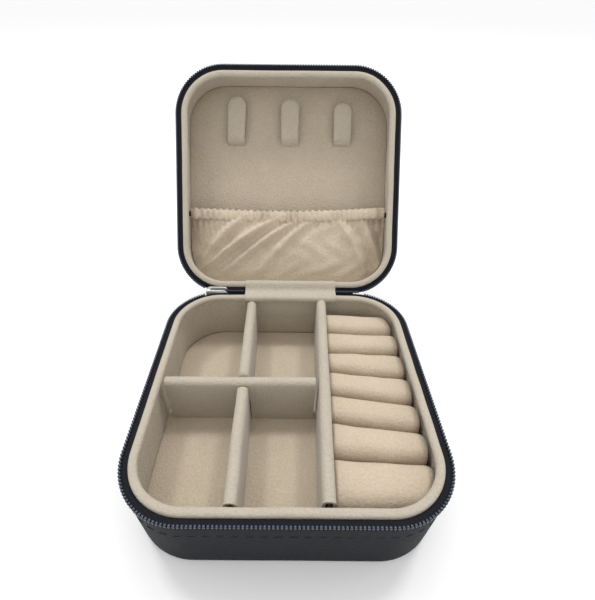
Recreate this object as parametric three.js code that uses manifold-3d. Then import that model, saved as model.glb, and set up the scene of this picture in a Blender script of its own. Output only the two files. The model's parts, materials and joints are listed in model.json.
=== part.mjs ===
// A small zip-round jewellery case: a leather box with a hinged lid, a velvet tray with lift-out
// dividers and ring rolls, and a lid with necklace hooks over a gathered pocket.
// Millimetres, +Z up, the front towards -Y. The origin is the centre of the base's underside.
import * as THREE from "three";
import { mergeVertices } from "three/addons/utils/BufferGeometryUtils.js";
import Module from "manifold-3d";

const wasm = await Module();
wasm.setup();

// ---- driving dimensions ----
const caseWidth = 100;
const caseLength = 100;
const cornerRadius = 21;
const baseHeight = 30; // underside to the plane where the two halves meet
const lidHeight = 20; // from that plane to the lid's top
const lidOpenAngle = THREE.MathUtils.degToRad(126); // how far the lid stands open, from closed

// ---- shell ----
const leather = 0.7;
const edgeFillet = 3; // rounding of the leather round the underside and the top
const zipBand = 3; // height of zip left uncovered by the leather, in each half
const board = 0.7;
const velvet = 0.5;
const clearance = 0.2; // between pieces that are glued or sewn together
const tapeThickness = 0.3;
const tapeTuck = 5; // how far the tape is sewn in under the leather
const tapeEdgeGap = 1; // from the meeting plane down to the tape's edge
const chainThickness = 0.9;
const chainHeight = 1;
const chainDrop = 0.8; // from the meeting plane down to the teeth
const lipWidth = 2.2;
const lipDrop = 0.3; // from the meeting plane down to the rim's top
const lipHeight = 2.4;
const lipShoulder = 0.9; // from the rim's top down to where its sides start
const lipFlat = 1; // width of the flat along the rim's top
const floorPadThickness = 4.2;
const lidCavityDepth = 14.5; // from the meeting plane to the lid's back panel
const cornerSteps = 5; // flats in each rounded corner
const edgeSteps = 4; // flats in the rounding of the leather's edge
const overshoot = 1; // how far a cutting block runs past what it cuts

// ---- hinge and its velvet strip ----
const hingeInset = 0.5; // the hinge line lies this far inside the rear face
const hingeDrop = 0.2; // and this far below the meeting plane
const stripWidth = 41;
const stripCentre = 1.5;
const stripThickness = 0.5;
const spineThickness = 0.4;
const seamGap = 0.5; // beside the spine and the strip

// ---- inside the base ----
const partitionX = 13.7;
const partitionTurn = THREE.MathUtils.degToRad(-2.2);
const partitionTop = 29;
const dividerTop = 28;
const dividerThickness = 4;
const coreThickness = 0.8;
const coreEndGap = 1; // how far the card stops short of the cover's end
const shortEndGap = 1.2; // from the short divider to the partition, which leans over on plan
const longDividerX = -16;
const shortDividerY = 0;
const endGap = 0.4; // from a divider's end to the rim
const crossGap = 0.35; // all round where the two dividers are halved together
const crossHeight = 17; // where the long divider's notch starts
// Each roll's share of the row at its left and right end, from the rear: they lie a little askew.
const rollShares = [
  [12.5, 11.5],
  [11.5, 11.5],
  [10, 12.5],
  [11, 12],
  [11.5, 11],
  [13, 11],
  [17, 15],
];
const rollRearGaps = [4.2, 6.2]; // from the rear lining to the row, at its left and right end
const rollFrontGap = 3.7;
const rollTop = 24.5;
const rollGap = 0.5;
const rollWallGap = 1.2;
const bedThickness = 0.8;
const rollFootShare = 0.85; // width of a roll's foot, as a share of the roll
const rollFootHeight = 1.5; // where its sides reach their full width
const rollSteps = 8; // flats round its top

// ---- inside the lid ----
const hookCentres = [-24.8, 0.7, 25.6];
const hookWidth = 8.6;
const hookLength = 19.5;
const hookTipGap = 6.2; // from the lid's front lining to a hook's tip
const hookThickness = 1;
const hookStandOff = 2.6; // from the back panel to the tab
const pocketHeight = 34.7; // up from the lid's rear lining
const pocketSlope = 11; // height of its sloping lower part
const pocketDepth = 6.2; // how far the pocket stands off the back panel
const pocketSheet = 0.7;
const pocketFoot = 2; // how far it still stands off at its lower end
const pocketSeam = 1; // from its lower end up to the inside of its seam
const hemEndGap = 1; // from the wall lining to the hem's end
const hemHeight = 4;
const hemThickness = 0.8;

// ---- zip slider and pull ----
const sliderPastCorner = 8; // how far round the rear left corner the slider's closed end lies
const sliderLeft = cornerRadius - caseWidth / 2 - sliderPastCorner;
const sliderLength = 9.5;
const sliderPlate = 0.7;
const sliderSlot = 1.9;
const sliderWeb = 1.9; // solid end of the slider, past the channel for the teeth
const sliderAbove = 1.35; // from the hinge line up to the slider's upper edge
const sliderBelow = 2.3; // and down to its plates' lower edge
const joinedChainRadius = 0.6;
const joinedPastCorner = 4.2; // how far the joined teeth run into the rear right corner
const joinedChainEnd = caseWidth / 2 - cornerRadius + joinedPastCorner;
const chainGap = 0.4; // from the joined teeth to the open ones, and to the slider
const sliderEndGap = 0.6; // from the slider to the open teeth
const pullLength = 17;
const pullWidth = 4.4;
const pullThickness = 0.8;
const pullPinRadius = 0.25;
const pullEar = 0.8;
const pullHead = 0.45; // from the pull's pin up to its end
const pullDrop = 3.1; // from the hinge line down to the pull's pin
const pinPlay = 0.06; // round the pin in the pull
const pinHold = 0.2; // how far the pin runs into each ear
const earEdge = 0.5; // how far the ears run past the pin and up into the plate
const skirtDrop = 1; // from the hinge line down to where the slider's plates stand apart
const rodFlats = 8;

// ---- sizes worked out from those above ----
const hingeY = caseLength / 2 - hingeInset;
const hingeZ = baseHeight - hingeDrop;
const tapeInset = leather + clearance;
const boardInset = tapeInset + tapeThickness + clearance;
const liningInset = boardInset + board + clearance;
const insideInset = liningInset + velvet;
const lipInset = insideInset;
const floorTop = leather + clearance + board + clearance + floorPadThickness;
const rimInside = lipInset + lipWidth;
const boardEdge = baseHeight - lipDrop - lipHeight - clearance;
const coneStep = Math.PI / (4 * cornerSteps);
const insideFront = insideInset - caseLength / 2;
const insideRear = caseLength / 2 - insideInset;
const hookTip = insideFront + hookTipGap;
const hookRoot = hookTip + hookLength;
const pocketTop = insideRear - pocketHeight;
const pocketFlatEnd = insideRear - pocketSlope;

const material = (color, roughness, metalness = 0) => () =>
  new THREE.MeshStandardMaterial({ color, roughness, metalness });
const blackLeather = material(0x2f3138, 0.55);
const spineLeather = material(0x26282f, 0.6);
const zipTapeCloth = material(0x191c26, 0.9);
const zipTeeth = material(0x2b3545, 0.4);
const greyBoard = material(0x8d8577, 0.95);
const beigeVelvet = material(0xb5a385, 0.95);
const paleVelvet = material(0xd2cabb, 0.95);
const creamVelvet = material(0xdcc8aa, 0.95);
const silverMetal = material(0xc9c9c6, 0.3, 0.9);

// ---- solids ----
function solidFrom(geometry) {
  const bare = new THREE.BufferGeometry();
  const loose = geometry.index ? geometry.toNonIndexed() : geometry;
  bare.setAttribute("position", loose.getAttribute("position"));
  const merged = mergeVertices(bare, 1e-4);
  const vertProperties = merged.attributes.position.array;
  const triVerts = new Uint32Array(merged.index.array);
  return new wasm.Manifold(new wasm.Mesh({ numProp: 3, vertProperties, triVerts }));
}

function geometryFrom(solid) {
  const { vertProperties, triVerts } = solid.getMesh();
  const geometry = new THREE.BufferGeometry();
  geometry.setAttribute("position", new THREE.BufferAttribute(vertProperties, 3));
  geometry.setIndex(new THREE.BufferAttribute(triVerts, 1));
  return geometry;
}

function cut(geometry, ...tools) {
  return geometryFrom(tools.reduce((left, tool) => left.subtract(solidFrom(tool)), solidFrom(geometry)));
}

function join(geometry, ...others) {
  return geometryFrom(others.reduce((sum, other) => sum.add(solidFrom(other)), solidFrom(geometry)));
}

function keepInside(geometry, mould) {
  return geometryFrom(solidFrom(geometry).intersect(solidFrom(mould)));
}

// A box between two corners.
function block(low, high) {
  const size = high.map((value, axis) => value - low[axis]);
  const middle = high.map((value, axis) => (value + low[axis]) / 2);
  return new THREE.BoxGeometry(...size).translate(...middle);
}

// A ring round the case. The profile's points are [inset from the outer face, height]. It is
// revolved with the corner radius, then each quarter is moved out to its own corner.
function rimRing(profile) {
  const halfX = caseWidth / 2 - cornerRadius;
  const halfY = caseLength / 2 - cornerRadius;
  const closed = [...profile, profile[0]];
  const points = closed.map(
    ([inset, height]) => new THREE.Vector2((cornerRadius - inset) / Math.cos(coneStep), height),
  );
  if (THREE.ShapeUtils.area(points) < 0) points.reverse(); // so that its faces point outwards
  const ring = new THREE.LatheGeometry(points, 4 * cornerSteps, coneStep, 2 * Math.PI);
  ring.rotateX(Math.PI / 2);
  const place = ring.attributes.position;
  for (let i = 0; i < place.count; i++) {
    place.setX(i, place.getX(i) + Math.sign(place.getX(i)) * halfX);
    place.setY(i, place.getY(i) + Math.sign(place.getY(i)) * halfY);
  }
  return ring;
}

// The outline of the case, drawn in by an inset.
function outline(inset) {
  const x = caseWidth / 2 - cornerRadius;
  const y = caseLength / 2 - cornerRadius;
  const radius = cornerRadius - inset;
  const shape = new THREE.Shape();
  shape.absarc(x, y, radius, 0, Math.PI / 2);
  shape.absarc(-x, y, radius, Math.PI / 2, Math.PI);
  shape.absarc(-x, -y, radius, Math.PI, 1.5 * Math.PI);
  shape.absarc(x, -y, radius, 1.5 * Math.PI, 2 * Math.PI);
  return shape;
}

// A flat plate of the case's outline between two heights.
function plate(inset, low, high) {
  const depth = high - low;
  const settings = { depth, bevelEnabled: false, curveSegments: cornerSteps };
  return new THREE.ExtrudeGeometry(outline(inset), settings).translate(0, 0, low);
}

// Turns a section drawn in X-Y and run along Z into one in Y-Z, run along X.
function alongX(run) {
  return run.rotateZ(Math.PI / 2).rotateY(Math.PI / 2);
}

// A section in the Y-Z plane run along X.
function bar(section, left, right) {
  const shape = new THREE.Shape(section.map(([y, z]) => new THREE.Vector2(y, z)));
  const settings = { depth: right - left, bevelEnabled: false };
  return alongX(new THREE.ExtrudeGeometry(shape, settings)).translate(left, 0, 0);
}

// Heights are measured from the meeting plane: down in the base, up in the lid.
const inBase = ([inset, away]) => [inset, baseHeight - away];
const inLid = ([inset, away]) => [inset, baseHeight + away];

function shellWall(half, height) {
  const arc = [1, 2, 3].map((step) => {
    const turn = (step * Math.PI) / (2 * edgeSteps);
    return [edgeFillet * (1 - Math.sin(turn)), height - edgeFillet * (1 - Math.cos(turn))];
  });
  const inner = edgeFillet - leather;
  const profile = [
    [0, zipBand],
    [0, height - edgeFillet],
    ...arc.reverse(),
    [edgeFillet, height],
    [edgeFillet, height - leather],
    [leather + inner / 3, height - leather - inner / 3],
    [leather, height - edgeFillet],
    [leather, zipBand],
  ];
  return rimRing(profile.map(half));
}

function upright(half, inset, thickness, near, far) {
  const profile = [
    [inset, near],
    [inset, far],
    [inset + thickness, far],
    [inset + thickness, near],
  ];
  return rimRing(profile.map(half));
}

function lip(half) {
  const middle = lipInset + lipWidth / 2;
  const low = lipDrop + lipHeight;
  const profile = [
    [lipInset, low],
    [lipInset + lipWidth, low],
    [lipInset + lipWidth, lipDrop + lipShoulder],
    [middle + lipFlat / 2, lipDrop],
    [middle - lipFlat / 2, lipDrop],
    [lipInset, lipDrop + lipShoulder],
  ];
  return rimRing(profile.map(half));
}

// The stretch at the rear, between the rounded corners, where each half is open for the hinge.
function rearGap(half, left, right, near, far) {
  const [, first] = half([0, near]);
  const [, last] = half([0, far]);
  const low = Math.min(first, last);
  const high = Math.max(first, last);
  return block([left, caseLength / 2 - insideInset, low], [right, caseLength / 2 + overshoot, high]);
}

const stripLeft = stripCentre - stripWidth / 2;
const stripRight = stripCentre + stripWidth / 2;

function zipTape(half) {
  const sewnTo = zipBand + tapeTuck;
  const tape = upright(half, tapeInset, tapeThickness, tapeEdgeGap, sewnTo);
  const spineSeat = rearGap(half, stripLeft - seamGap, stripRight + seamGap, 0, sewnTo + overshoot);
  const sliderRun = rearGap(half, sliderLeft - overshoot, stripLeft, 0, zipBand + clearance);
  return cut(tape, spineSeat, sliderRun);
}

function zipChain(half) {
  const inset = tapeInset - clearance - chainThickness;
  const chain = upright(half, inset, chainThickness, chainDrop, chainDrop + chainHeight);
  return cut(chain, rearGap(half, sliderLeft - sliderEndGap, joinedChainEnd + chainGap, 0, zipBand));
}

// The flexible leather between the halves, tucked in behind the wall of each.
function spineLeaf(half) {
  const [, edge] = half([0, tapeEdgeGap + clearance]);
  const [, root] = half([0, zipBand + tapeTuck]);
  const outer = caseLength / 2 - tapeInset;
  const low = [stripLeft, outer - spineThickness, Math.min(edge, root)];
  return block(low, [stripRight, outer, Math.max(edge, root)]);
}

// The velvet strip that hides the gap, from the rim to the hinge.
function hingeStrip(half) {
  const [, near] = half([0, lipDrop]);
  const [, far] = half([0, lipDrop + stripThickness]);
  const inner = caseLength / 2 - lipInset + clearance;
  const outer = caseLength / 2 - tapeInset;
  const low = [stripLeft, inner, Math.min(near, far)];
  return block(low, [stripRight, outer, Math.max(near, far)]);
}

// A board folded over a core and wrapped in velvet, standing along Y, open underneath.
function dividerCover(length, low, top) {
  const half = dividerThickness / 2;
  const slot = coreThickness / 2 + clearance;
  const roof = top - half;
  const shape = new THREE.Shape();
  shape.moveTo(slot, low);
  shape.lineTo(half, low);
  shape.lineTo(half, roof);
  shape.absarc(0, roof, half, 0, Math.PI);
  shape.lineTo(-half, low);
  shape.lineTo(-slot, low);
  shape.lineTo(-slot, roof);
  shape.lineTo(slot, roof);
  const settings = { depth: length, bevelEnabled: false, curveSegments: 4 };
  const cover = new THREE.ExtrudeGeometry(shape, settings);
  return cover.rotateX(Math.PI / 2).translate(0, length / 2, 0);
}

function dividerCore(length, low, top) {
  const roof = top - dividerThickness / 2 - clearance;
  const half = coreThickness / 2;
  return block([-half, -length / 2 + coreEndGap, low], [half, length / 2 - coreEndGap, roof]);
}

// Everything to the left of the partition's right face, with the partition.
function leftOfPartition() {
  const face = dividerThickness / 2 + clearance;
  const side = block([-caseWidth, -caseLength, 0], [face, caseLength, baseHeight]);
  return side.rotateZ(partitionTurn).translate(partitionX, 0, 0);
}

// Where a roll's rear edge lies at one end of the row: 0 is the left end, 1 the right.
function rollEdge(index, end) {
  const rear = insideRear - rollRearGaps[end];
  const row = rear - insideFront - rollFrontGap;
  const shares = rollShares.map((pair) => pair[end]);
  const whole = shares.reduce((sum, share) => sum + share, 0);
  const before = shares.slice(0, index).reduce((sum, share) => sum + share, 0);
  return rear - (row * before) / whole;
}

// A roll's section is drawn from -1 to 1 across, then stretched to its edges at both ends.
function ringRoll(index) {
  const low = floorTop + clearance + bedThickness + clearance;
  const crown = (rollEdge(index, 0) - rollEdge(index + 1, 0) - rollGap) / 2;
  const shape = new THREE.Shape();
  shape.moveTo(-rollFootShare, low);
  shape.lineTo(rollFootShare, low);
  shape.lineTo(1, low + rollFootHeight);
  for (let step = 0; step <= rollSteps; step++) {
    const turn = (step * Math.PI) / rollSteps;
    shape.lineTo(Math.cos(turn), rollTop - crown * (1 - Math.sin(turn)));
  }
  shape.lineTo(-1, low + rollFootHeight);
  const right = caseWidth / 2 - insideInset;
  const left = partitionX;
  const roll = alongX(new THREE.ExtrudeGeometry(shape, { depth: right - left, bevelEnabled: false }));
  const place = roll.attributes.position;
  for (let i = 0; i < place.count; i++) {
    const along = place.getX(i) / (right - left);
    const rear = THREE.MathUtils.lerp(rollEdge(index, 0), rollEdge(index, 1), along);
    const front = THREE.MathUtils.lerp(rollEdge(index + 1, 0), rollEdge(index + 1, 1), along);
    const half = (rear - front - rollGap) / 2;
    place.setY(i, (rear + front) / 2 + half * place.getY(i));
  }
  roll.translate(left, 0, 0);
  return cut(keepInside(roll, plate(insideInset + rollWallGap, 0, baseHeight)), leftOfPartition());
}

function ringBed() {
  const low = floorTop + clearance;
  const bed = plate(insideInset + clearance, low, low + bedThickness);
  return cut(bed, leftOfPartition());
}

// A necklace hook: a tab with a round tip, held off the back panel by its bent root.
function necklaceHook(centre) {
  const face = baseHeight + lidCavityDepth - hookStandOff - hookThickness;
  const radius = hookWidth / 2;
  const shape = new THREE.Shape();
  shape.moveTo(centre + radius, hookRoot);
  shape.lineTo(centre - radius, hookRoot);
  shape.lineTo(centre - radius, hookTip + radius);
  shape.absarc(centre, hookTip + radius, radius, Math.PI, 2 * Math.PI);
  const settings = { depth: hookThickness, bevelEnabled: false, curveSegments: 6 };
  const tab = new THREE.ExtrudeGeometry(shape, settings).translate(0, 0, face);
  const rootLow = [centre - radius, hookRoot - hookThickness, face];
  const root = block(rootLow, [centre + radius, hookRoot, baseHeight + lidCavityDepth - clearance]);
  return join(tab, root);
}

// The gathered pocket, plain here: a flat bag with its mouth towards the hooks.
function lidPocket() {
  const panel = baseHeight + lidCavityDepth - clearance;
  const front = panel - pocketDepth;
  const end = insideRear - clearance;
  const half = caseWidth / 2 - insideInset - clearance;
  const outside = [
    [pocketTop, front],
    [pocketFlatEnd, front],
    [end, panel - pocketFoot],
    [end, panel],
    [pocketTop, panel],
  ];
  const inside = [
    [pocketTop - overshoot, front + pocketSheet],
    [pocketFlatEnd - pocketSeam / 2, front + pocketSheet],
    [end - pocketSeam, panel - pocketFoot + pocketSeam / 2],
    [end - pocketSeam, panel - pocketSheet],
    [pocketTop - overshoot, panel - pocketSheet],
  ];
  const bag = bar(outside, -half, half);
  const hollow = bar(inside, pocketSheet - half, half - pocketSheet);
  const room = keepInside(hollow, plate(insideInset + clearance + pocketSheet, 0, 2 * baseHeight));
  return cut(keepInside(bag, plate(insideInset + clearance, 0, 2 * baseHeight)), room);
}

function pocketHem() {
  const face = baseHeight + lidCavityDepth - 2 * clearance - pocketDepth;
  const half = caseWidth / 2 - insideInset - hemEndGap;
  return block([-half, pocketTop, face - hemThickness], [half, pocketTop + hemHeight, face]);
}

// The teeth that stay joined at the rear lie on the hinge line.
function joinedChain(left, right) {
  const rod = new THREE.CylinderGeometry(joinedChainRadius, joinedChainRadius, right - left, rodFlats);
  return rod.rotateZ(Math.PI / 2).translate((left + right) / 2, hingeY, hingeZ);
}

// Two plates over the teeth, joined past the channel's end, with a pin for the pull.
function zipSlider() {
  const half = sliderSlot / 2;
  const right = sliderLeft + sliderLength;
  const top = hingeZ + sliderAbove;
  const low = hingeZ - sliderBelow;
  const body = block([sliderLeft, hingeY - half - sliderPlate, low], [right, hingeY + half + sliderPlate, top]);
  const channelLow = [sliderLeft + sliderWeb, hingeY - half, low - overshoot];
  const channel = block(channelLow, [right + overshoot, hingeY + half, top + overshoot]);
  const skirtLow = [sliderLeft - overshoot, hingeY - half, low - overshoot];
  const skirt = block(skirtLow, [right + overshoot, hingeY + half, hingeZ - skirtDrop]);
  const pinZ = hingeZ - pullDrop;
  const middle = sliderLeft + sliderLength / 2;
  const inner = pullWidth / 2 + clearance;
  const face = hingeY + half;
  const ears = [-1, 1].map((side) => {
    const near = middle + side * inner;
    const far = near + side * pullEar;
    const earLow = [Math.min(near, far), face, pinZ - earEdge];
    return block(earLow, [Math.max(near, far), face + sliderPlate, low + earEdge]);
  });
  const pin = new THREE.CylinderGeometry(pullPinRadius, pullPinRadius, 2 * (inner + pinHold), rodFlats);
  pin.rotateZ(Math.PI / 2).translate(middle, face + sliderPlate / 2, pinZ);
  return join(cut(body, channel, skirt), ...ears, pin);
}

function zipPull() {
  const middle = sliderLeft + sliderLength / 2;
  const axisY = hingeY + sliderSlot / 2 + sliderPlate / 2;
  const axisZ = hingeZ - pullDrop;
  const shape = new THREE.Shape();
  shape.moveTo(-pullWidth / 2, pullHead);
  shape.lineTo(-pullWidth / 2, pullWidth / 2 - pullLength);
  shape.absarc(0, pullWidth / 2 - pullLength, pullWidth / 2, Math.PI, 2 * Math.PI);
  shape.lineTo(pullWidth / 2, pullHead);
  const settings = { depth: pullThickness, bevelEnabled: false, curveSegments: 5 };
  const tab = new THREE.ExtrudeGeometry(shape, settings);
  tab.translate(0, 0, -pullThickness / 2).rotateX(Math.PI / 2);
  const boreRadius = pullPinRadius + pinPlay;
  const bore = new THREE.CylinderGeometry(boreRadius, boreRadius, pullWidth + 2 * overshoot, rodFlats);
  bore.rotateZ(Math.PI / 2);
  return cut(tab, bore).translate(middle, axisY, axisZ);
}

// ---- assembly ----
const group = new THREE.Group();
const lidHinge = new THREE.Group();
lidHinge.position.set(0, hingeY, hingeZ);
lidHinge.rotation.x = -lidOpenAngle;
const lid = new THREE.Group(); // holds the lid's pieces where they lie with the case shut
lid.position.set(0, -hingeY, -hingeZ);
lidHinge.add(lid);
group.add(lidHinge);

function addPiece(parent, name, geometry, finish) {
  const mesh = new THREE.Mesh(geometry, finish());
  mesh.name = name;
  parent.add(mesh);
  return mesh;
}

const floorBoardLow = leather + clearance;
const floorPadLow = floorBoardLow + board + clearance;

addPiece(group, "base_side_leather", shellWall(inBase, baseHeight), blackLeather);
addPiece(group, "base_bottom_leather", plate(edgeFillet + clearance, 0, leather), blackLeather);
addPiece(
  group,
  "base_wall_board",
  upright(inBase, boardInset, board, baseHeight - boardEdge, baseHeight - edgeFillet),
  greyBoard,
);
addPiece(group, "base_floor_board", plate(edgeFillet + clearance, floorBoardLow, floorBoardLow + board), greyBoard);
addPiece(
  group,
  "base_wall_lining",
  upright(inBase, liningInset, velvet, baseHeight - boardEdge, baseHeight - floorTop - clearance),
  beigeVelvet,
);
addPiece(group, "base_floor_pad", plate(liningInset, floorPadLow, floorTop), beigeVelvet);
addPiece(group, "base_rim_lip", lip(inBase), paleVelvet);
addPiece(group, "base_zip_tape", zipTape(inBase), zipTapeCloth);
addPiece(group, "base_zip_teeth", zipChain(inBase), zipTeeth);
addPiece(group, "base_spine_leather", spineLeaf(inBase), spineLeather);
addPiece(group, "base_hinge_strip", hingeStrip(inBase), paleVelvet);
const joinedLeft = sliderLeft + sliderLength + chainGap;
addPiece(group, "joined_teeth_left", joinedChain(joinedLeft, stripLeft - seamGap), zipTeeth);
addPiece(group, "joined_teeth_right", joinedChain(stripRight + seamGap, joinedChainEnd), zipTeeth);
addPiece(group, "zip_slider", zipSlider(), silverMetal);
addPiece(group, "zip_pull", zipPull(), silverMetal);

// The partition leans over slightly on plan, so it is shorter than the room between the rims.
const dividerLow = floorTop + clearance;
const longRoom = caseLength - 2 * rimInside - 2 * endGap;
for (const [name, shape, finish] of [
  ["partition_cover", dividerCover, paleVelvet],
  ["partition_core", dividerCore, greyBoard],
]) {
  const piece = addPiece(group, name, shape(longRoom, dividerLow, partitionTop), finish);
  piece.position.set(partitionX, 0, 0);
  piece.rotation.z = partitionTurn;
}

// The two dividers are halved together: the long one is notched from above, the short from below.
const notch = dividerThickness / 2 + crossGap;
const longNotch = block(
  [-caseWidth, shortDividerY - notch, crossHeight],
  [caseWidth, shortDividerY + notch, baseHeight],
);
const longCover = dividerCover(longRoom, dividerLow, dividerTop);
const longCore = dividerCore(longRoom, dividerLow, dividerTop);
addPiece(group, "long_divider_cover", cut(longCover, longNotch), paleVelvet).position.x = longDividerX;
addPiece(group, "long_divider_core", cut(longCore, longNotch), greyBoard).position.x = longDividerX;

const shortLeft = -caseWidth / 2 + rimInside + endGap;
const shortRight = partitionX - dividerThickness / 2 - shortEndGap;
const shortLength = shortRight - shortLeft;
const shortMiddle = (shortLeft + shortRight) / 2;
const crossing = longDividerX - shortMiddle;
const shortNotch = block(
  [-caseWidth, -crossing - notch, 0],
  [caseWidth, -crossing + notch, crossHeight + crossGap],
);
for (const [name, shape, finish] of [
  ["short_divider_cover", dividerCover, paleVelvet],
  ["short_divider_core", dividerCore, greyBoard],
]) {
  const whole = shape(shortLength, dividerLow, dividerTop);
  const piece = addPiece(group, name, cut(whole, shortNotch), finish);
  piece.position.set(shortMiddle, shortDividerY, 0);
  piece.rotation.z = Math.PI / 2;
}

addPiece(group, "ring_roll_bed", ringBed(), greyBoard);
rollShares.forEach((shares, index) => {
  addPiece(group, "ring_roll_" + (index + 1), ringRoll(index), creamVelvet);
});

const topBoardFar = lidHeight - leather - clearance;
addPiece(lid, "lid_side_leather", shellWall(inLid, lidHeight), blackLeather);
addPiece(
  lid,
  "lid_top_leather",
  plate(edgeFillet + clearance, baseHeight + lidHeight - leather, baseHeight + lidHeight),
  blackLeather,
);
addPiece(
  lid,
  "lid_wall_board",
  upright(inLid, boardInset, board, baseHeight - boardEdge, lidHeight - edgeFillet),
  greyBoard,
);
addPiece(
  lid,
  "lid_top_board",
  plate(edgeFillet + clearance, baseHeight + topBoardFar - board, baseHeight + topBoardFar),
  greyBoard,
);
addPiece(
  lid,
  "lid_wall_lining",
  upright(inLid, liningInset, velvet, baseHeight - boardEdge, lidCavityDepth - clearance),
  beigeVelvet,
);
addPiece(
  lid,
  "lid_back_panel",
  plate(liningInset, baseHeight + lidCavityDepth, baseHeight + topBoardFar - board - clearance),
  beigeVelvet,
);
addPiece(lid, "lid_rim_lip", lip(inLid), paleVelvet);
addPiece(lid, "lid_zip_tape", zipTape(inLid), zipTapeCloth);
addPiece(lid, "lid_zip_teeth", zipChain(inLid), zipTeeth);
addPiece(lid, "lid_spine_leather", spineLeaf(inLid), spineLeather);
addPiece(lid, "lid_hinge_strip", hingeStrip(inLid), paleVelvet);
hookCentres.forEach((centre, index) => {
  addPiece(lid, "necklace_hook_" + (index + 1), necklaceHook(centre), beigeVelvet);
});
addPiece(lid, "lid_pocket", lidPocket(), beigeVelvet);
addPiece(lid, "pocket_elastic_hem", pocketHem(), beigeVelvet);

export default group;
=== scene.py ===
"""Leather jewellery case: velvet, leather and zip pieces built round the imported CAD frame."""
import bpy
import json
import math
import numpy as np
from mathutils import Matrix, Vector


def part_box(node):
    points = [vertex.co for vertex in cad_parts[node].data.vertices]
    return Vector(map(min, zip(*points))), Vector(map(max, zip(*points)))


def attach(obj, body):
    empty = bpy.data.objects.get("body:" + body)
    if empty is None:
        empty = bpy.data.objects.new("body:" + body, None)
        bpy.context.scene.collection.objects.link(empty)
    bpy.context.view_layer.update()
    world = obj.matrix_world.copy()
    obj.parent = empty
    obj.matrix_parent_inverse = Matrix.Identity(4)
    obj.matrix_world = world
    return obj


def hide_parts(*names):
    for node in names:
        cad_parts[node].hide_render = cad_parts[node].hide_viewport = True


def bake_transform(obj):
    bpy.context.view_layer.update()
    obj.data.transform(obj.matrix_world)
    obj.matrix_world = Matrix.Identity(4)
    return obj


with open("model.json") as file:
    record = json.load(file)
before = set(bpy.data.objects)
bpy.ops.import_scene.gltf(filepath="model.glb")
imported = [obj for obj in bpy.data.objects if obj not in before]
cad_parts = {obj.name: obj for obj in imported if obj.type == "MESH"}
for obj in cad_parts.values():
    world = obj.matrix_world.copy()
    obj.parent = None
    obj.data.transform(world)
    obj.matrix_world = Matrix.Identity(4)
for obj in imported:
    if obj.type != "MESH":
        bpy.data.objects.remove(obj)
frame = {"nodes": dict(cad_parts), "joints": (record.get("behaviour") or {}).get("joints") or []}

bl_info = {
    "name": "Jewellery case pieces",
    "version": (1, 0, 0),
    "blender": (4, 5, 0),
    "location": "View3D > Sidebar > Case",
    "description": "Builds the soft goods, leather and zip of a small jewellery case",
    "category": "Object",
}

MM = 0.001
TO_MM = 1000.0


def node_box(node):
    """Lowest and highest corner of a CAD node, in millimetres."""
    low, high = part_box(node)
    return np.array(low) * TO_MM, np.array(high) * TO_MM


def joint_named(name):
    """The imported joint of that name."""
    return next(joint for joint in frame["joints"] if joint["name"] == name)


# The case's driving sizes, in millimetres, read off the frame.
HALF = node_box("base_side_leather")[1][0]
WALL_TOP = node_box("base_side_leather")[1][2]
ZIP_BAND = 3.0
SEAM = WALL_TOP + ZIP_BAND
HINGE = np.array(joint_named("lid_hinge")["pos_m"]) * TO_MM
OPEN = math.radians(joint_named("lid_hinge")["range_deg"][1])
LID_HEIGHT = 20.0
FACE = {"base": 0.0, "lid": SEAM - LID_HEIGHT}
CORNER = 21.0
LEATHER = 0.7
TURNED_EDGE = 3.2  # how far the side leather is turned under at the flat face
INSIDE = HALF - node_box("base_wall_lining")[1][0]
LINING = 0.5
LIP_LOW, LIP_HIGH = node_box("base_rim_lip")
LIP_INSET = HALF - LIP_HIGH[0]
LIP_WIDTH = 2.2
LIP_BULGE = 0.5  # how far the padding swells out over the tape
STRIP_LEFT = node_box("base_hinge_strip")[0][0]
STRIP_RIGHT = node_box("base_hinge_strip")[1][0]
PANEL_TOP = FACE["lid"] + 5.5  # the face of the lid's padded back panel
TAPE_INSET = 0.9  # the outer face of the zip tape
TAPE_SEWN = 5.0  # how far the tape goes down behind the leather
ZIP_START = 1.2 - node_box("zip_slider")[0][0]  # where the open teeth start, just past the slider
TOOTH_LEVEL = WALL_TOP + 1.72
PARTITION_THICK = 4.0
NOTCH_HALF = 2.35  # half the width of the dividers' notches
POCKET_TOP = 14.0  # where the pocket's hem lies, from the middle of the lid
POCKET_FULL = 6.3  # how far the pocket stands off the panel at its hem
GATHER = 2.9  # from one gather of the pocket to the next
CORNER_CENTRE = HALF - CORNER
SIDE_RUN = 2 * CORNER_CENTRE + CORNER * math.pi / 2
ROUND = 4 * SIDE_RUN
INSIDE_HALF = HALF - INSIDE - LINING
INSIDE_RADIUS = CORNER - INSIDE - LINING
ALL_ROUND = np.linspace(0, ROUND, 183)  # places for a plain sweep right round the case
SMOOTH_UNDER = math.radians(50)  # edges flatter than this are smoothed
FRONT_CUT = 0.95  # how far the walls that run front to back stop short of the front lip


# ---------- mesh helpers ----------

def station(along, inset):
    """Points of the case's outline moved in by inset, at distances counted from the middle of the rear."""
    along = (np.asarray(along, float) + CORNER_CENTRE) % ROUND
    side = np.floor(along / SIDE_RUN)
    rest = along - side * SIDE_RUN
    straight = 2 * CORNER_CENTRE
    turn = np.clip(rest - straight, 0, None) / CORNER
    travel = np.minimum(rest, straight) - CORNER_CENTRE
    face = (side + 1) * math.pi / 2
    angle = face + turn
    reach = CORNER - inset
    x = CORNER_CENTRE * np.cos(face) - travel * np.sin(face) + reach * np.cos(angle)
    y = CORNER_CENTRE * np.sin(face) + travel * np.cos(face) + reach * np.sin(angle)
    return x, y


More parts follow.
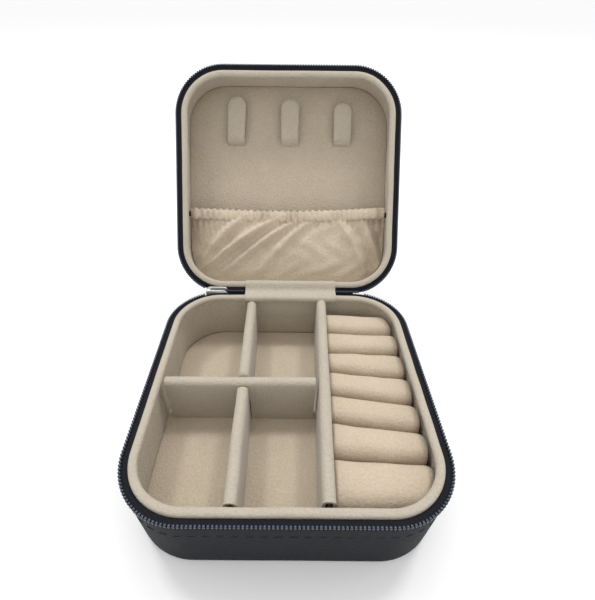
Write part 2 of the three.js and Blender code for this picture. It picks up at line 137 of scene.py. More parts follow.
def turn_open(points):
    """Points of the closed lid, turned about the hinge to where it rests open."""
    turned = points.copy()
    across = points[..., 1] - HINGE[1]
    up = points[..., 2] - HINGE[2]
    turned[..., 1] = HINGE[1] + across * math.cos(OPEN) + up * math.sin(OPEN)
    turned[..., 2] = HINGE[2] - across * math.sin(OPEN) + up * math.cos(OPEN)
    return turned


def on_half(half, points):
    """Points as in the base, or mirrored over the seam into the open lid."""
    if half == "base":
        return points
    closed = points.copy()
    closed[..., 2] = 2 * SEAM - points[..., 2]
    return turn_open(closed)


def wobble(points, seed, wave, amount):
    """Moves points by smooth seeded waves, as soft goods are never quite even."""
    waves = 5
    share = 0.45
    dice = np.random.default_rng(seed)
    moved = points.copy()
    for _ in range(waves):
        heading = dice.normal(size=3)
        heading /= np.linalg.norm(heading)
        push = dice.normal(size=3)
        push /= np.linalg.norm(push)
        length = wave * dice.uniform(0.6, 1.6)
        phase = dice.uniform(0, 2 * math.pi)
        swing = np.sin(points @ heading * 2 * math.pi / length + phase)
        moved += share * amount * swing[..., None] * push
    return moved


def lattice(name, points):
    """A grid primitive laid on an array of points in mm, welded where they meet, facing out."""
    columns = points.shape[0] - 1
    rows = points.shape[1] - 1
    bpy.ops.object.select_all(action="DESELECT")
    bpy.ops.mesh.primitive_grid_add(x_subdivisions=columns, y_subdivisions=rows, size=1)
    piece = bpy.context.object
    piece.name = name
    flat = np.empty(len(piece.data.vertices) * 3)
    piece.data.vertices.foreach_get("co", flat)
    flat = flat.reshape(-1, 3)
    column = np.rint((flat[:, 0] + 0.5) * columns).astype(int)
    row = np.rint((flat[:, 1] + 0.5) * rows).astype(int)
    piece.data.vertices.foreach_set("co", (points[column, row] * MM).ravel())
    piece.data.update()
    weld(piece)
    return piece


def weld(piece):
    """Joins vertices that meet, points the faces out and smooths all but sharp edges."""
    bpy.ops.object.select_all(action="DESELECT")
    piece.select_set(True)
    bpy.context.view_layer.objects.active = piece
    bpy.ops.object.mode_set(mode="EDIT")
    bpy.ops.mesh.select_all(action="SELECT")
    bpy.ops.mesh.remove_doubles(threshold=2e-6)
    bpy.ops.mesh.dissolve_degenerate(threshold=1e-7)
    bpy.ops.mesh.select_all(action="SELECT")
    bpy.ops.mesh.normals_make_consistent(inside=False)
    bpy.ops.object.mode_set(mode="OBJECT")
    bpy.ops.object.shade_smooth_by_angle(angle=SMOOTH_UNDER)


def soft_loop(corners, radii, steps=4, longest=2.5):
    """A closed profile with rounded corners, its straights split into short lengths."""
    count = len(corners)
    corners = np.array(corners, float)
    drawn = []
    for i in range(count):
        before = corners[i - 1] - corners[i]
        after = corners[(i + 1) % count] - corners[i]
        reach_before = min(radii[i], 0.49 * np.linalg.norm(before))
        reach_after = min(radii[i], 0.49 * np.linalg.norm(after))
        start = corners[i] + before / np.linalg.norm(before) * reach_before
        end = corners[i] + after / np.linalg.norm(after) * reach_after
        for t in np.linspace(0, 1, steps + 1):
            drawn.append((1 - t) ** 2 * start + 2 * t * (1 - t) * corners[i] + t * t * end)
    split = []
    for here, there in zip(drawn, drawn[1:] + drawn[:1]):
        pieces = max(1, math.ceil(np.linalg.norm(there - here) / longest))
        for k in range(pieces):
            split.append(here + (there - here) * k / pieces)
    return np.array(split + split[:1])


def ribbon(path, thickness):
    """The closed loop of a thin sheet along an open path, and the path gone over twice."""
    path = np.array(path, float)
    heading = np.gradient(path, axis=0)
    heading /= np.linalg.norm(heading, axis=1)[:, None]
    side = np.stack([-heading[:, 1], heading[:, 0]], axis=1) * thickness / 2
    tip = (path[-1] + heading[-1] * thickness * 0.3)[None]
    root = (path[0] - heading[0] * thickness * 0.3)[None]
    loop = np.concatenate([root, path + side, tip, (path - side)[::-1], root])
    middle = np.concatenate([path[:1], path, path[-1:], path[::-1], path[:1]])
    return loop, middle


def swept(loop, places, put, middle=None):
    """A loop repeated at each place. Open sweeps close on the loop's middle at both ends."""
    columns = [put(loop[:, 0], loop[:, 1], place) for place in places]
    if middle is not None:
        columns.insert(0, put(middle[:, 0], middle[:, 1], places[0]))
        columns.append(put(middle[:, 0], middle[:, 1], places[-1]))
    return np.array([np.stack(np.broadcast_arrays(*column), axis=1) for column in columns])


def centre_of(loop):
    """A loop of the same length, all at the loop's middle."""
    return np.repeat(loop.mean(0)[None], len(loop), axis=0)


def round_the_case(inset, height, along):
    """Puts a profile point at a distance along the outline, in from the edge."""
    x, y = station(along, inset)
    return x, y, height


def smooth_path(path, rounds=3):
    """Cuts the corners of an open path, keeping its ends."""
    path = np.array(path, float)
    for _ in range(rounds):
        near = path[:-1] * 0.75 + path[1:] * 0.25
        far = path[:-1] * 0.25 + path[1:] * 0.75
        inner = np.stack([near, far], axis=1).reshape(-1, 2)
        path = np.concatenate([path[:1], inner, path[-1:]])
    return path


def slab(name, half, inset, low, high, edge, seed=None):
    """A pad or sheet that fills the rounded outline, with a soft edge to its face."""
    under_edge = 0.4 * edge
    rows = [(k, edge, high) for k in np.linspace(0, 1, 22)]
    for t in np.linspace(0, math.pi / 2, 6)[1:]:
        rows.append((1, edge * (1 - math.sin(t)), high - edge * (1 - math.cos(t))))
    for t in np.linspace(0, math.pi / 2, 4):
        rows.append((1, under_edge * (1 - math.cos(t)), low + under_edge * (1 - math.sin(t))))
    for k in np.linspace(0.98, 0, 12):
        rows.append((k, under_edge, low))
    along = np.linspace(0, ROUND, 129)
    layers = []
    for share, shift, height in rows:
        x, y = station(along, inset + shift)
        layers.append(np.stack([x * share, y * share, np.full_like(x, height)], axis=1))
    points = np.stack(layers, axis=1)
    if seed:
        points = wobble(points, seed, 30, 0.08)
    return lattice(name, on_half(half, points))


def squarish(value, power):
    """A sine or cosine raised to a power, its sign kept, for a section between round and square."""
    return np.sign(value) * np.abs(value) ** power


def quarter_round(share):
    """The height of a quarter circle, from 0 at its edge to 1 at a share of 1 and past it."""
    return math.sqrt(max(0, 1 - (1 - min(1, share)) ** 2))


def superblock(name, low, high, power=4.0, columns=16, rows=10):
    """A block with soft corners between two corners."""
    low = np.array(low, float)
    high = np.array(high, float)
    around = np.linspace(0, 2 * math.pi, columns + 1)[:, None]
    up = np.linspace(-math.pi / 2, math.pi / 2, rows + 1)[None]
    keen = 2 / power
    level = squarish(np.cos(up), keen)
    shape = np.stack([
        level * squarish(np.cos(around), keen),
        level * squarish(np.sin(around), keen),
        squarish(np.sin(up), keen) * np.ones_like(around),
    ], axis=-1)
    return lattice(name, (low + high) / 2 + shape * (high - low) / 2)


def repeated(name, model, places):
    """Copies of a model, each with its own mesh, moved by a function of its vertices and joined."""
    source = np.array([vertex.co for vertex in model.data.vertices]) * TO_MM
    copies = []
    for place in places:
        copy = model.copy()
        copy.data = model.data.copy()
        bpy.context.collection.objects.link(copy)
        copy.data.vertices.foreach_set("co", (place(source) * MM).ravel())
        copies.append(copy)
    bpy.data.objects.remove(model)
    return joined(name, copies)


def joined(name, pieces):
    """Several meshes as one object."""
    bpy.ops.object.select_all(action="DESELECT")
    for piece in pieces:
        piece.select_set(True)
    bpy.context.view_layer.objects.active = pieces[0]
    bpy.ops.object.join()
    piece = bpy.context.object
    piece.name = name
    weld(piece)
    return piece


def carve(piece, low, high):
    """Cuts a box, given in mm, out of a piece."""
    low = Vector(low) * MM
    high = Vector(high) * MM
    bpy.ops.object.select_all(action="DESELECT")
    bpy.ops.mesh.primitive_cube_add(size=1, location=(low + high) / 2)
    cutter = bpy.context.object
    cutter.scale = high - low
    bpy.context.view_layer.objects.active = piece
    cut = piece.modifiers.new("notch", "BOOLEAN")
    cut.operation = "DIFFERENCE"
    cut.solver = "EXACT"
    cut.object = cutter
    bpy.ops.object.modifier_apply(modifier=cut.name)
    bpy.data.objects.remove(cutter)
    weld(piece)


def dress(piece, finish, body, *nodes):
    """Gives a piece its finish, its body and the CAD nodes that it stands for."""
    piece.data.materials.clear()
    piece.data.materials.append(MATERIALS[finish])
    if body:
        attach(piece, body)
    if nodes:
        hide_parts(*nodes)
    SLOT_OF.get(finish, finish)


# ---------- materials ----------

def feed(tree, place, value):
    """Links a wire to a socket, or sets the socket's own value."""
    if isinstance(value, Wire):
        tree.links.new(value.socket, place)
    else:
        place.default_value = value


class Wire:
    """A value in a material's nodes. Arithmetic on wires adds the nodes for it."""

    def __init__(self, tree, socket):
        self.tree = tree
        self.socket = socket

    def math(self, operation, first, second):
        node = self.tree.nodes.new("ShaderNodeMath")
        node.operation = operation
        feed(self.tree, node.inputs[0], first)
        feed(self.tree, node.inputs[1], second)
        return Wire(self.tree, node.outputs[0])

    def __add__(self, other):
        return self.math("ADD", self, other)

    def __radd__(self, other):
        return self.math("ADD", other, self)

    def __sub__(self, other):
        return self.math("SUBTRACT", self, other)

    def __rsub__(self, other):
        return self.math("SUBTRACT", other, self)

    def __mul__(self, other):
        return self.math("MULTIPLY", self, other)

    def __rmul__(self, other):
        return self.math("MULTIPLY", other, self)


class Finish:
    """A new material with one principled shader."""

    def __init__(self, name, **constants):
        self.material = bpy.data.materials.new(name)
        self.material.use_nodes = True
        self.tree = self.material.node_tree
        self.shader = self.tree.nodes["Principled BSDF"]
        for socket, value in constants.items():
            self.shader.inputs[socket.replace("_", " ")].default_value = value
        self.place = self.node("ShaderNodeTexCoord", {}, {}, "Object")

    def node(self, kind, settings, sockets, output=0):
        """Any other node: its type, its settings, then its sockets."""
        node = self.tree.nodes.new(kind)
        for key, value in settings.items():
            setattr(node, key, value)
        for key, value in sockets.items():
            feed(self.tree, node.inputs[key], value)
        return Wire(self.tree, node.outputs[output])

    def noise(self, scale, detail=2.0, rough=0.5):
        """Soft noise, scale in features a metre."""
        sockets = {"Vector": self.place, "Scale": scale, "Detail": detail, "Roughness": rough}
        return self.node("ShaderNodeTexNoise", {}, sockets)

    def cells(self, scale, feature="F1"):
        """The distance to the nearest of scattered points."""
        settings = {"feature": feature}
        return self.node("ShaderNodeTexVoronoi", settings, {"Vector": self.place, "Scale": scale})

    def blend(self, share, first, second):
        """Two colours mixed by a share."""
        sockets = {0: share, 6: first, 7: second}
        return self.node("ShaderNodeMix", {"data_type": "RGBA"}, sockets, 2)

    def set(self, socket, value):
        feed(self.tree, self.shader.inputs[socket], value)

    def bump(self, height, depth, strength=1.0):
        """Raises the surface by a wire, depth in metres."""
        sockets = {"Height": height, "Distance": depth, "Strength": strength}
        self.set("Normal", self.node("ShaderNodeBump", {}, sockets))


def tint(red, green, blue):
    """A colour from eight-bit display values."""
    values = []
    for value in (red, green, blue):
        share = value / 255
        values.append(share / 12.92 if share < 0.04045 else ((share + 0.055) / 1.055) ** 2.4)
    return (*values, 1.0)


def velvet(name, light, dark, pebble=0.5):
    """Short-pile velvet: brushed patches, fine pile and a faint pebbly nap."""
    finish = Finish(name, Sheen_Weight=0.25, Sheen_Roughness=0.5, Specular_IOR_Level=0.15)
    brushed = finish.noise(110, 3)
    pile = finish.noise(3800, 2, 0.7)
    nap = finish.noise(1150, 3, 0.6)
    share = brushed * 0.5 + pile * 0.3 + nap * 1.4 - 0.6
    finish.set("Base Color", finish.blend(share, dark, light))
    finish.set("Roughness", 0.8 + pile * 0.2)
    finish.bump(pile * 0.25 + nap * (2.4 * pebble), 0.0005, 1.0)
    return finish.material


def leather(name, light, dark):
    """Fine-grained leather: close pores, soft creases and rubbed places."""
    finish = Finish(name, Specular_IOR_Level=0.1)
    pores = finish.cells(1500)
    creases = finish.cells(650, "DISTANCE_TO_EDGE")
    rubbed = finish.noise(90, 4)
    fine = finish.noise(2600, 2)
    share = rubbed * 0.8 + pores * 0.5 - 0.15
    finish.set("Base Color", finish.blend(share, dark, light))
    finish.set("Roughness", 0.5 + rubbed * 0.16 + fine * 0.08)
    finish.bump(creases * 0.8 + pores * 0.5 + fine * 0.3, 0.00016, 0.7)
    return finish.material


def woven(name, light, dark):
    """Zip tape: crossed threads half a millimetre apart."""
    finish = Finish(name, Specular_IOR_Level=0.2)
    warp = finish.node("ShaderNodeTexWave", {"bands_direction": "DIAGONAL"},
                       {"Vector": finish.place, "Scale": 420.0, "Distortion": 0.6})
    weft = finish.node("ShaderNodeTexWave", {"bands_direction": "Z"},
                       {"Vector": finish.place, "Scale": 600.0, "Distortion": 0.6})
    lint = finish.noise(1500, 3)
    weave = warp * 0.5 + weft * 0.5
    finish.set("Base Color", finish.blend(weave * 0.6 + lint * 0.4, dark, light))
    finish.set("Roughness", 0.7 + lint * 0.2)
    finish.bump(weave + lint * 0.3, 0.0001, 0.6)
    return finish.material


def teeth_plastic(name):
    """Moulded navy teeth with a rubbed gloss."""
    finish = Finish(name, Coat_Roughness=0.2, Specular_IOR_Level=0.6)
    worn = finish.noise(700, 3)
    finish.set("Base Color", finish.blend(worn, tint(20, 26, 38), tint(46, 58, 78)))
    finish.set("Roughness", 0.24 + worn * 0.2)
    finish.set("Coat Weight", worn * 0.5)
    finish.bump(finish.noise(2500, 2), 0.00003, 0.4)
    return finish.material


def silver(name):
    """Pale nickel with scuffs and fine wrinkles."""
    finish = Finish(name)
    wrinkle = finish.noise(420, 4, 0.65)
    scuff = finish.noise(1900, 3)
    finish.set("Base Color", finish.blend(scuff, tint(196, 198, 198), tint(228, 229, 228)))
    finish.set("Metallic", 0.6 + scuff * 0.2)
    finish.set("Roughness", 0.2 + scuff * 0.25)
    finish.bump(wrinkle, 0.0005, 0.7)
    return finish.material


def card(name, light, dark):
    """Pressed card, with short fibres."""
    finish = Finish(name, Specular_IOR_Level=0.2)
    fibre = finish.noise(900, 5, 0.7)
    finish.set("Base Color", finish.blend(fibre, dark, light))
    finish.set("Roughness", 0.8 + fibre * 0.15)
    finish.bump(fibre, 0.0001, 0.6)
    return finish.material


MATERIALS = {}
# Copies of a slot's material for single pieces. The lining velvet's copies carry painted light and shade:
# lighter for the floor pad, the pocket and its hem, darker for the lid's back panel and hooks.
SLOT_OF = {"hem_velvet": "beige_velvet", "panel_velvet": "beige_velvet", "hook_velvet": "beige_velvet",
           "floor_velvet": "beige_velvet", "thread": "black_leather", "elastic": "zip_cloth"}


def make_materials(settings):
    """All the finishes, by the record's slot or by piece."""
    MATERIALS["black_leather"] = leather("black leather", tuple(settings.leather_colour), tint(16, 17, 21))
    MATERIALS["spine_leather"] = leather("spine leather", tint(44, 46, 54), tint(20, 21, 27))
    MATERIALS["zip_cloth"] = woven("zip tape", tint(27, 29, 37), tint(12, 13, 18))
    MATERIALS["zip_teeth"] = teeth_plastic("zip teeth")
    MATERIALS["silver_metal"] = silver("slider nickel")
    MATERIALS["grey_board"] = card("card board", tint(120, 100, 80), tint(70, 54, 42))
    MATERIALS["cream_velvet"] = velvet("roll velvet", tuple(settings.roll_colour), tint(182, 166, 144), 0.3)
    MATERIALS["pale_velvet"] = velvet("rim velvet", tint(188, 179, 164), tint(168, 158, 143), 0.35)
    MATERIALS["beige_velvet"] = velvet("lining velvet", tuple(settings.lining_colour), tint(172, 159, 140))
    # painted light: the pocket and its hem get the lining velvet made lighter, for the light on the pocket
    # where it stands off the panel
    MATERIALS["hem_velvet"] = velvet("hem velvet", tint(214, 200, 179), tint(186, 171, 148))
    # painted shade: the lid's back panel gets the lining velvet made darker, for the shade inside the lid
    MATERIALS["panel_velvet"] = velvet("panel velvet", tint(192, 179, 160), tint(170, 156, 136))
    # painted shade: the necklace hooks get the lining velvet made darker, for the shade inside the lid
    MATERIALS["hook_velvet"] = velvet("hook velvet", tint(190, 180, 162), tint(170, 158, 140))
    # painted light: the floor pad's velvet is the lining velvet made lighter, for the light falling on the
    # upturned floor
    MATERIALS["floor_velvet"] = velvet("floor velvet", tint(212, 199, 179), tint(188, 173, 151))
    MATERIALS["thread"] = woven("stitch thread", tint(42, 44, 51), tint(22, 23, 28))
    MATERIALS["elastic"] = woven("dark elastic", tint(52, 40, 32), tint(24, 18, 14))


# ---------- the pieces ----------

def side_leather(half):
    """The leather round a half's sides, turned under at the flat face and folded at the rim."""
    face = FACE[half]
    corners = [(0, WALL_TOP), (0, face), (TURNED_EDGE, face), (TURNED_EDGE, face + LEATHER),
               (LEATHER, face + LEATHER), (LEATHER, WALL_TOP)]
    loop = soft_loop(corners, [0.35, 3.0, 0.05, 0.05, 2.3, 0.35], 6, 2.0)
    points = swept(loop, ALL_ROUND, round_the_case)
    low_part = (points[..., 2] < face + 0.4)[..., None]
    points = np.where(low_part, points, wobble(points, 3, 24, 0.07))
    piece = lattice(half + "_side_leather_cover", on_half(half, points))
    dress(piece, "black_leather", half, half + "_side_leather")


def face_leather(half):
    """The leather of the flat face, just inside the turned edge, with a low bead round the lid's."""
    face = FACE[half]
    node = "base_bottom_leather" if half == "base" else "lid_top_leather"
    piece = slab(node + "_cover", half, TURNED_EDGE + 0.05, face, face + LEATHER, 0.2)
    if half == "lid":
        seam = seam_bead(half, TURNED_EDGE, face + 0.06)
        piece = joined(node + "_cover", [piece, seam])
    dress(piece, "black_leather", half, node)


def seam_bead(half, inset, height):
    """The low bead where the face leather meets the turned edge."""
    around = np.linspace(0, 2 * math.pi, 9)
    loop = np.stack([inset + 0.28 * np.cos(around), height + 0.2 * np.sin(around)], axis=1)
    loop[-1] = loop[0]
    points = swept(loop, ALL_ROUND, round_the_case)
    return lattice(half + "_seam_bead", on_half(half, points))


def stitches(half, pitch):
    """Thread stitches in a line below the zip tape."""
    below_rim = 5.5
    slant = 0.05
    model = superblock("stitch", (-1.35, -0.2, -0.2), (1.35, 0.2, 0.2), 2.4, 8, 8)
    count = int(ROUND / pitch)

    def placed(index):
        along = (index + 0.5) * ROUND / count

        def move(source):
            x, y = station(along + source[:, 0], 0.02 + source[:, 1])
            height = WALL_TOP - below_rim + source[:, 2] + slant * source[:, 0]
            return on_half(half, np.stack([x, y, height], axis=1))
        return move
    piece = repeated(half + "_stitching", model, [placed(i) for i in range(count)])
    dress(piece, "thread", half)


def zip_tape(half):
    """Woven tape, sewn behind the leather and flaring in to the lip at its top."""
    foot = WALL_TOP - TAPE_SEWN
    inner = TAPE_INSET + 0.35
    corners = [(TAPE_INSET, foot), (TAPE_INSET, WALL_TOP + 0.5), (-0.35, WALL_TOP + 1.0),
               (-0.35, WALL_TOP + 1.4), (2.2, WALL_TOP + 1.25), (2.2, WALL_TOP + 0.95),
               (inner, WALL_TOP + 0.7), (inner, foot)]
    loop = soft_loop(corners, [0.1, 0.5, 0.12, 0.12, 0.1, 0.1, 0.6, 0.1], 3, 1.5)
    places = np.linspace(ZIP_START, ROUND - STRIP_RIGHT - 0.3, 170)
    points = swept(loop, places, along_the_tape, centre_of(loop))
    piece = lattice(half + "_zip_tape_cover", on_half(half, points))
    piece = joined(piece.name, [piece, slider_stretch(half)])
    dress(piece, "zip_cloth", half, half + "_zip_tape")


def plain_band(half, outer, inner, low, top):
    """A flat band of tape from the hinge strip to where the toothed tape starts."""
    corners = [(outer, low), (outer, top), (inner, top), (inner, low)]
    loop = soft_loop(corners, [0.04, 0.04, 0.04, 0.04], 2, 1.5)
    places = np.linspace(-STRIP_LEFT + 0.3, ZIP_START + 0.2, 16)
    points = swept(loop, places, round_the_case, centre_of(loop))
    return lattice("plain_band", on_half(half, points))


def slider_stretch(half):
    """The tape where the slider runs: one band between its plates and one against the lip.

    The lid's bands are lower, so that they clear the slider with the lid open."""
    between_plates = WALL_TOP + (1.9 if half == "base" else 0.9)
    against_lip = WALL_TOP + (2.9 if half == "base" else 2.2)
    outer = plain_band(half, TAPE_INSET, TAPE_INSET + 0.3, WALL_TOP - TAPE_SEWN, between_plates)
    inner = plain_band(half, 2.17, 2.27, WALL_TOP - 1, against_lip)
    return joined("slider_stretch", [outer, inner])


def along_the_tape(inset, height, along):
    """As round_the_case, but drawn in along the rear, so that the tapes clear each other laid back."""
    easing = 8.0
    least_inset = 0.1
    from_middle = np.minimum(along, ROUND - along)
    rear = np.clip(1 - (from_middle - CORNER_CENTRE) / easing, 0, 1)
    drawn_in = np.maximum(inset, least_inset)
    return round_the_case(drawn_in * rear + inset * (1 - rear), height, along)


def zip_teeth(half, pitch):
    """One half of the open zip's teeth, set half a pitch apart from the other half's."""
    model = superblock("tooth", (-0.44, -0.5, -0.5), (0.44, 0.5, 0.5), 3.0, 8, 6)
    end = ROUND - node_box("joined_teeth_right")[1][0] - 0.6
    shift = 0.0 if half == "base" else 0.5
    count = int((end - ZIP_START) / pitch)

    def placed(index):
        along = ZIP_START + (index + shift) * pitch

        def move(source):
            x, y = station(along + source[:, 0], source[:, 1])
            return on_half(half, np.stack([x, y, TOOTH_LEVEL + source[:, 2]], axis=1))
        return move
    piece = repeated(half + "_zip_teeth_row", model, [placed(i) for i in range(count)])
    dress(piece, "zip_teeth", half, half + "_zip_teeth")


def rim_lip(half, fill):
    """The padded velvet bead round a half's rim."""
    middle_inset = LIP_INSET + (LIP_WIDTH - LIP_BULGE) / 2
    middle_height = (LIP_LOW[2] + LIP_HIGH[2]) / 2
    tall = (LIP_HIGH[2] - LIP_LOW[2]) / 2
    around = np.linspace(0, 2 * math.pi, 21)
    wide = (LIP_WIDTH + LIP_BULGE) / 2
    fullness = 0.85
    inset = middle_inset + wide * squarish(np.cos(around), fullness)
    height = middle_height + tall * squarish(np.sin(around), fullness)
    loop = np.stack([inset, height], axis=1)
    loop[-1] = loop[0]
    points = swept(loop, np.linspace(0, ROUND, 241), round_the_case)
    points = wobble(points, 11 if half == "base" else 12, 16, 0.07)
    piece = lattice(half + "_rim_lip_cover", on_half(half, points))
    dress(piece, "pale_velvet", half, half + "_rim_lip")


def wall_lining(half):
    """The velvet down the inside of the walls."""
    floor = node_box("base_floor_pad")[1][2] if half == "base" else PANEL_TOP
    low = floor + 0.2
    top = WALL_TOP + 0.1
    inner = INSIDE + LINING
    corners = [(INSIDE, low), (INSIDE, top), (inner, top), (inner, low)]
    loop = soft_loop(corners, [0.1, 0.2, 0.2, 0.1], 3, 2.0)
    points = swept(loop, ALL_ROUND, round_the_case)
    points = wobble(points, 21, 20, 0.1)
    piece = lattice(half + "_wall_lining_cover", on_half(half, points))
    dress(piece, "beige_velvet", half, half + "_wall_lining")


def floor_pads():
    """The base's floor pad and the lid's padded back panel."""
    low, high = node_box("base_floor_pad")
    inset = HALF - high[0]
    soft_edge = 0.9
    panel_thick = 3.7
    pad = slab("base_floor_pad_cover", "base", inset, low[2], high[2], soft_edge, 31)
    # the floor pad gets the lighter copy of the lining velvet, painted light
    dress(pad, "floor_velvet", "base", "base_floor_pad")
    panel = slab("lid_back_panel_cover", "lid", inset, PANEL_TOP - panel_thick, PANEL_TOP, soft_edge, 32)
    # the back panel gets the darker copy of the lining velvet, painted shade
    dress(panel, "panel_velvet", "lid", "lid_back_panel")


def divider_loop(width, low, top, wall):
    """A divider's section: the velvet's path up one side, over the round top and down."""
    reach = (width - wall) / 2
    spring = top - wall / 2 - reach
    bend = [(reach * math.cos(t), spring + reach * math.sin(t)) for t in np.linspace(0, math.pi, 11)]
    legs = np.linspace(low, spring, 9)[:-1]
    path = [(reach, z) for z in legs] + bend + [(-reach, z) for z in legs[::-1]]
    return ribbon(path, wall)


def notch_rounding(points, axis, at, top):
    """Rounds a divider's top down into the notch where the other one crosses."""
    reach = 2.0
    away = np.abs(points[..., axis] - at) - NOTCH_HALF
    near = np.clip(away / reach, 0, 1)
    drop = reach * (1 - np.sqrt(1 - (1 - near) ** 2))
    share = np.clip((points[..., 2] - (top - 2 * reach)) / (2 * reach), 0, 1)
    rounded = points.copy()
    rounded[..., 2] -= drop * share
    return rounded


def velvet_wall(name, low, high, axis, notch, seed, turn=0.0):
    """A divider wall wrapped in velvet, its length along one axis, its ends open."""
    across = 1 - axis
    width = high[across] - low[across]
    loop, middle = divider_loop(width, low[2], high[2], 0.9)
    places = np.linspace(low[axis] + FRONT_CUT * (axis == 1), high[axis], 46)
    if notch is not None:
        dense = NOTCH_HALF + np.array([0.01, 0.25, 0.55, 0.95, 1.45, 2.05])
        places = np.sort(np.concatenate([places, notch + dense, notch - dense]))
    centre = (low[across] + high[across]) / 2

    def put(side, height, place):
        along = np.full_like(side, place)
        if axis == 1:
            return centre + side, along, height
        return along, centre + side, height
    points = swept(loop, places, put, middle)
    if notch is not None:
        points = notch_rounding(points, axis, notch, high[2])
    points = wobble(points, seed, 22, 0.12)
    if turn:
        x = points[..., 0] - centre
        y = points[..., 1].copy()
        points[..., 0] = centre + x * math.cos(turn) - y * math.sin(turn)
        points[..., 1] = x * math.sin(turn) + y * math.cos(turn)
    return lattice(name, points)


def partition():
    """The fixed wall between the compartments and the rolls, set slightly askew."""
    low, high = node_box("partition_cover")
    half_thick = PARTITION_THICK / 2
    spread = high[0] - low[0] - PARTITION_THICK
    turn = -math.atan2(spread, high[1] - low[1])
    centre = (low[0] + high[0]) / 2
    ends = (high[1] - low[1]) / 2 - 0.05
    piece = velvet_wall("partition_velvet", (centre - half_thick, -ends, low[2]),
                        (centre + half_thick, ends, high[2]), 1, None, 41, turn)
    dress(piece, "pale_velvet", "base", "partition_cover")


def dividers():
    """The two lift-out dividers, halved over each other where they cross."""
    long_low, long_high = node_box("long_divider_cover")
    short_low, short_high = node_box("short_divider_cover")
    cross = (long_low[0] + long_high[0]) / 2
    halfway = 17.0
    play = 0.35
    past = 4.0  # how far the cut reaches past the middle of a wall
    over = 40.0
    long_wall = velvet_wall("long_divider_velvet", long_low, long_high, 1, 0.0, 42)
    carve(long_wall, (cross - past, -NOTCH_HALF, halfway), (cross + past, NOTCH_HALF, over))
    dress(long_wall, "pale_velvet", "long_divider", "long_divider_cover")
    short_wall = velvet_wall("short_divider_velvet", short_low, short_high, 0, None, 43)
    carve(short_wall, (cross - NOTCH_HALF, -past, 0), (cross + NOTCH_HALF, past, halfway + play))
    dress(short_wall, "pale_velvet", "short_divider", "short_divider_cover")


# Each roll's width at its left and right end, from the rear.
ROLL_WIDTHS = ((12.5, 11.5), (11.5, 11.5), (10, 12.5), (11, 12), (11.5, 11), (13, 11), (17, 15))
ROLL_REAR = (42.8, 40.8)
ROLL_FRONT = -43.3


def roll_edges():
    """The rear edge of each roll at its left and right end, and the last roll's front."""
    edges = []
    for side in (0, 1):
        widths = np.array([pair[side] for pair in ROLL_WIDTHS], float)
        widths *= (ROLL_REAR[side] - ROLL_FRONT) / widths.sum()
        edges.append(ROLL_REAR[side] - np.concatenate([[0], np.cumsum(widths)]))
    return np.array(edges).T


def ring_roll(number, rear, front, seed):
    """A stuffed velvet roll: round along the top, its right end rounded off."""
    low, high = node_box("ring_roll_%d" % number)
    gap = 0.5
    length = 29.2
    left_round = 1.0
    right_round = 1.7
    spring = high[2] - 6.0
    bed = low[2] + 0.2
    around = np.linspace(-math.pi / 2, 1.5 * math.pi, 37)
    wide = squarish(np.cos(around), 0.6)
    tall = np.where(np.sin(around) > 0, np.sin(around), -np.abs(np.sin(around)) ** 0.25)
    from_left = [0.0, 0.1, 0.3, 0.6, 1.0]
    from_right = [3.0, 2.2, 1.5, 0.9, 0.45, 0.15, 0.0]
    inner = np.linspace(1.8, length - 3.8, 24)
    columns = []
    for place in from_left + list(inner) + [length - t for t in from_right]:
        t = place / length
        back = rear[0] + (rear[1] - rear[0]) * t - gap / 2
        fore = front[0] + (front[1] - front[0]) * t + gap / 2
        left = left_round * (1 - quarter_round(place))
        right = right_round * (1 - quarter_round((length - place) / 2.2))
        shrink = left + right
        half_width = (back - fore) / 2 - shrink
        y = (back + fore) / 2 + half_width * wide
        above = high[2] - spring - shrink
        z = np.where(tall > 0, spring + above * tall, spring + (spring - bed) * tall)
        columns.append(np.stack([np.full_like(y, t), y, z], axis=1))
    points = np.array([centre_of(columns[0])] + columns + [centre_of(columns[-1])])
    y = points[..., 1]
    room = 17.0  # radius of the corner that the rolls fit into
    beyond = np.clip(np.abs(y) - CORNER_CENTRE, 0, room - 0.5)
    right_limit = CORNER_CENTRE + np.sqrt(room ** 2 - beyond ** 2)
    part_low, part_high = node_box("partition_cover")
    lean = (part_high[0] - part_low[0] - PARTITION_THICK) / (part_high[1] - part_low[1])
    left_limit = (part_low[0] + part_high[0]) / 2 + PARTITION_THICK / 2 + 0.3 + y * lean
    points[..., 0] = left_limit + (right_limit - left_limit) * points[..., 0]
    points = wobble(points, seed, 13, 0.22)
    piece = lattice("ring_roll_%d_velvet" % number, points)
    dress(piece, "cream_velvet", "base", "ring_roll_%d" % number)


def rolls():
    """Seven rolls, a little askew, on their card bed."""
    edges = roll_edges()
    for index in range(len(ROLL_WIDTHS)):
        ring_roll(index + 1, edges[index], edges[index + 1], 50 + index)


def across_hinge(name, left, right, half_path, thickness, finish, nodes=(), rests_on=None):
    """A sheet from inside the base over the hinge into the lid, shaped for the lid resting open.

    Nothing is done with rests_on."""
    base = np.array([(0.0, HALF - inset, height) for inset, height in half_path])
    lid = on_half("lid", base)[::-1]
    path = np.concatenate([base, lid[1:]])[:, 1:]
    loop, middle = ribbon(smooth_path(path), thickness)
    places = np.linspace(left, right, 34)

    def put(y, z, x):
        return np.full_like(y, x), y, z
    points = swept(loop, places, put, middle)
    points = wobble(points, 61, 14, 0.08)
    piece = lattice(name, points)
    dress(piece, finish, None)
    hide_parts(*nodes)
    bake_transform(piece)
    if rests_on:
        (right - left) * MM


